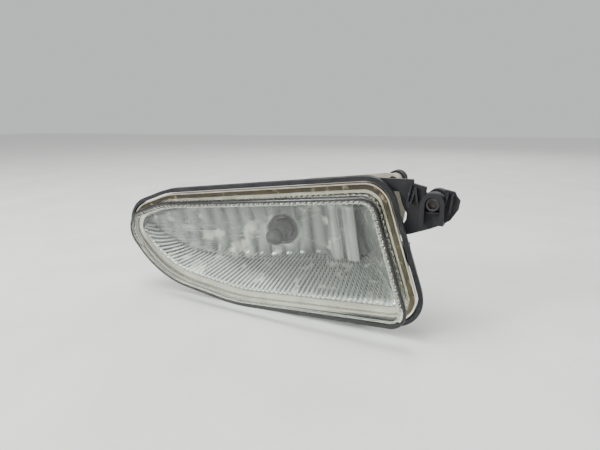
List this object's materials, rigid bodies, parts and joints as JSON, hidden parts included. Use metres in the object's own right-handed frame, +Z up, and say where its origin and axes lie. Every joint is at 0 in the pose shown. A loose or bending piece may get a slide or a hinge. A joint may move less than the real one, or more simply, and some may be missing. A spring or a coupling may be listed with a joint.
{
  "type": "fog light",
  "caption": "Wing-shaped car fog lamp with a clear ribbed lens, fluted reflector, axial bulb, tilting lamp unit and black carrier with a screw-adjusted bracket.",
  "frame": {"origin": "centre of the bounding box on the rest plane", "axes": "+Z up, +Y to the rear along the optical axis, +X to the outer end with the bracket"},
  "size_m": [0.2288, 0.1074, 0.0932],
  "materials": {
    "black_nylon": "moulded, fine grain",
    "white_nylon": "moulded natural nylon",
    "zinc_steel": "zinc plated",
    "dark_steel": "phosphated, slightly rusted",
    "brass": "turned",
    "clear_polycarbonate": "clear, slightly hazed",
    "black_edge": "black band",
    "tan_sealant": "aged sealing compound",
    "metallised_moulding": "pale thermoset moulding, bright inside",
    "black_rubber": "moulded rubber",
    "grey_nylon": "moulded",
    "nickel_steel": "nickel plated, dulled by heat",
    "bulb_glass": "clear hard glass",
    "dark_coating": "baked dark coating",
    "tungsten": "drawn wire"
  },
  "bodies": {
    "carrier": {"carrier_frame": "black_nylon", "pivot_bush_left": "white_nylon", "pivot_bush_right": "white_nylon", "adjuster_bush": "black_nylon"},
    "lamp_unit": {"lens": "clear_polycarbonate", "lens_edge_band": "black_edge", "lens_sealant": "tan_sealant", "reflector": "metallised_moulding", "pivot_pin_left": "zinc_steel", "pivot_pin_right": "zinc_steel", "vent_cap": "black_rubber", "ball_socket": "black_nylon"},
    "adjuster": {"adjuster_screw": "dark_steel", "screw_retainer": "zinc_steel"},
    "nut": {"ball_nut": "brass"},
    "bulb": {"bulb_base": "grey_nylon", "bulb_seal": "black_rubber", "bulb_collar": "nickel_steel", "bulb_capsule": "bulb_glass", "bulb_tip_coat": "dark_coating", "filament": "tungsten", "filament_leads": "tungsten", "bulb_terminals": "brass"}
  },
  "joints": [
    {"name": "lamp_tilt", "type": "hinge", "parent": "carrier", "child": "lamp_unit", "pos_m": [0.00416, -0.00415, 0.0477], "axis": [0.9766, -0.2151, 0], "range_deg": [-2.5, 2.5]},
    {"name": "adjuster_turn", "type": "hinge", "parent": "carrier", "child": "adjuster", "pos_m": [0.10076, -0.03116, 0.0798], "axis": [0.2151, 0.9766, 0], "range_deg": [-340, 340]},
    {"name": "nut_travel", "type": "slide", "parent": "carrier", "child": "nut", "axis": [0.2151, 0.9766, 0], "range_m": [-0.0016, 0.0016]},
    {"name": "bulb_twist", "type": "hinge", "parent": "lamp_unit", "child": "bulb", "pos_m": [0.00201, -0.01391, 0.0477], "axis": [0, 1, 0], "range_deg": [0, 40]}
  ],
  "couplings": [
    {"joint": "adjuster_turn", "follows": "lamp_tilt", "ratio": 134.46},
    {"joint": "nut_travel", "follows": "lamp_tilt", "m_per_rad": -0.0321}
  ]
}
